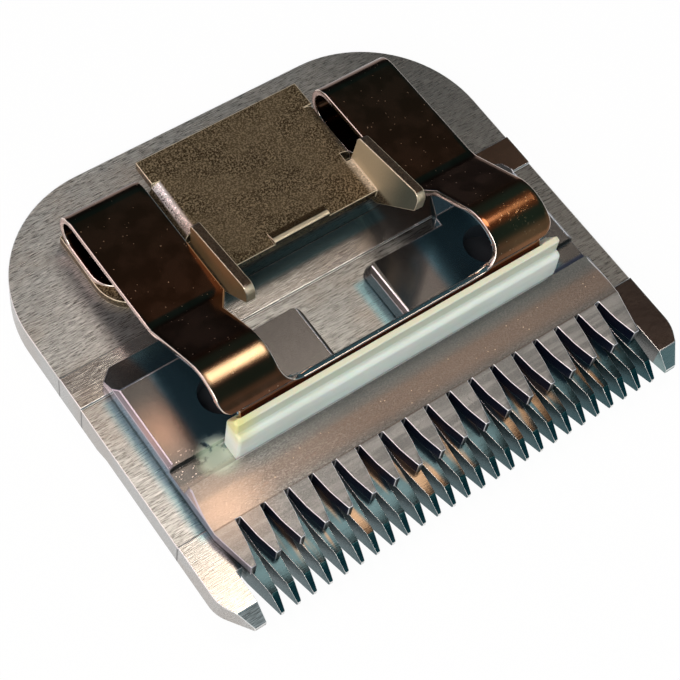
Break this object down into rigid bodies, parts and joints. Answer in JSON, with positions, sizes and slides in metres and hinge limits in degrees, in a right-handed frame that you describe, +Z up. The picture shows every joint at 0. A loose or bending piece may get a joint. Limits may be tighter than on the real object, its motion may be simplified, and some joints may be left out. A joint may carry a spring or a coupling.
{
  "type": "clipper blade",
  "caption": "Detachable clipper blade set: fine comb, sliding coarse cutter, folded tension spring with plastic guide bar, and folded hinge socket.",
  "frame": {"origin": "under the middle of the comb's footprint, on its flat underside", "axes": "+X along the row of teeth, teeth point to -Y, +Z up from the comb to the spring"},
  "size_m": [0.0488, 0.0444, 0.0126],
  "materials": {
    "comb_steel": "ground and lapped, fine scratches across",
    "cutter_steel": "hollow-ground, satin, fine grain",
    "spring_steel": "polished, dark reflections",
    "guide_plastic": "smooth, slightly waxy",
    "socket_plate": "yellow-gold zinc plating, grainy",
    "screw_steel": "plain zinc plating"
  },
  "bodies": {
    "blade_base": {"comb": "comb_steel", "tension_spring": "spring_steel", "blade_guide": "guide_plastic", "hinge_socket": "socket_plate", "socket_screw_left": "screw_steel", "socket_screw_right": "screw_steel"},
    "cutter_body": {"cutter": "cutter_steel"}
  },
  "joints": [
    {"name": "cutter_slide", "type": "slide", "parent": "blade_base", "child": "cutter_body", "axis": [1, 0, 0], "range_m": [-0.0011, 0.0013]}
  ]
}
